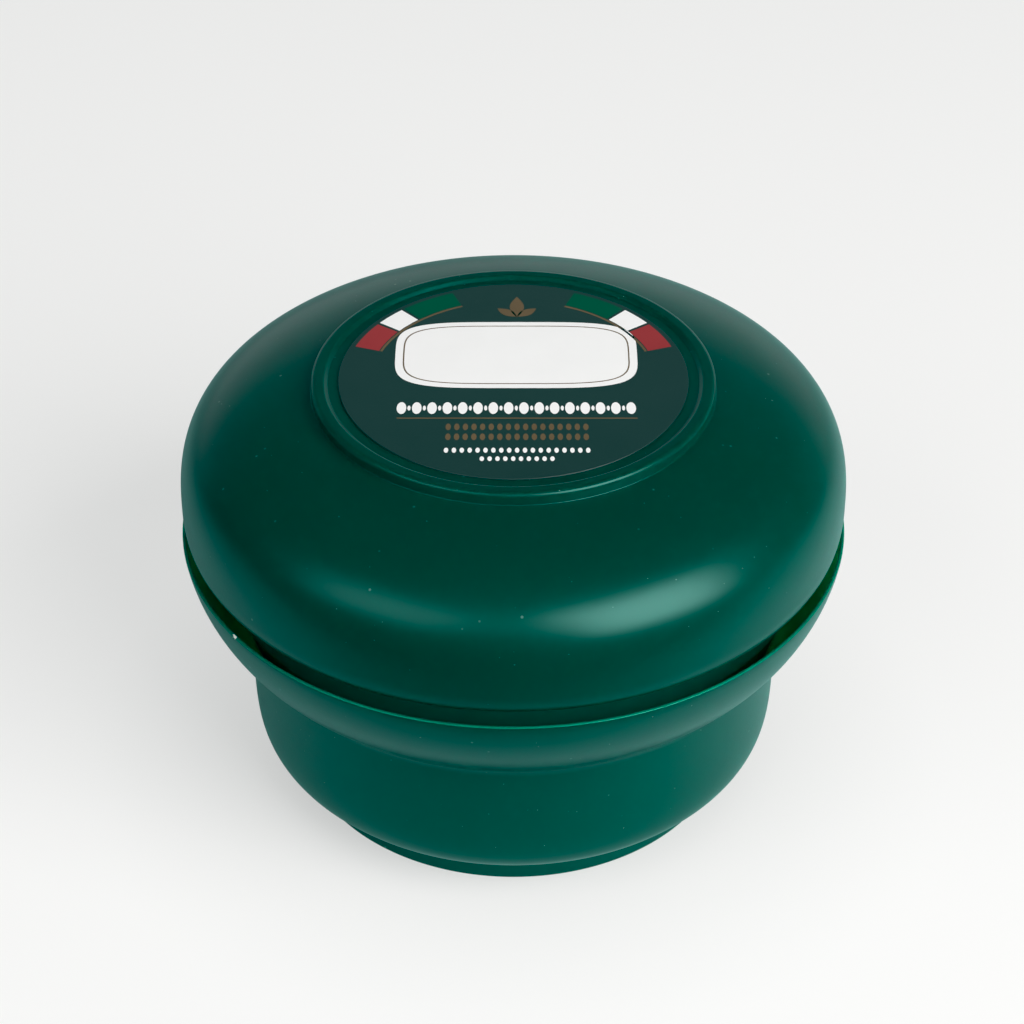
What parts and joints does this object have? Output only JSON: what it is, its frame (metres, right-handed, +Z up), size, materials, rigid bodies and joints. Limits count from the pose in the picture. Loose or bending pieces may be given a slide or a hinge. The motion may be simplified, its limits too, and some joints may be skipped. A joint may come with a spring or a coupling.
{
  "type": "shaving soap puck in a screw-lidded tub",
  "caption": "Puck of shaving soap cast in a round footed bowl with a flared saucer rim, closed by a domed screw lid with a raised ring and a recessed label.",
  "frame": {"origin": "centre of the foot ring's underside, on the tub's axis", "axes": "+Z up along the tub's axis, through the lid; +Y is the way the lid's label stands, away from a reader at the front"},
  "size_m": [0.0966, 0.0966, 0.0664],
  "materials": {
    "bowl_plastic": "satin bottle-green moulding",
    "soap": "smooth cream-white soap",
    "base_paper": "uncoated white label",
    "liner_foam": "white foam sheet",
    "insert_plastic": "satin bottle-green moulding",
    "lid_plastic": "satin bottle-green moulding",
    "lid_print": "dark printed label with a satin varnish"
  },
  "bodies": {
    "tub": {"bowl": "bowl_plastic", "soap_puck": "soap", "base_label": "base_paper"},
    "seal": {"sealing_liner": "liner_foam"},
    "lid": {"lid_insert": "insert_plastic", "lid_shell": "lid_plastic", "lid_label": "lid_print"}
  },
  "joints": [
    {"name": "lid_lift", "type": "slide", "parent": "tub", "child": "seal", "axis": [0, 0, 1], "range_m": [0, 0.055]},
    {"name": "lid_turn", "type": "hinge", "parent": "seal", "child": "lid", "pos_m": [0, 0, 0.045], "axis": [0, 0, 1], "range_deg": [0, 1980]}
  ],
  "couplings": [
    {"joint": "lid_lift", "follows": "lid_turn", "m_per_rad": 0.0015915}
  ]
}
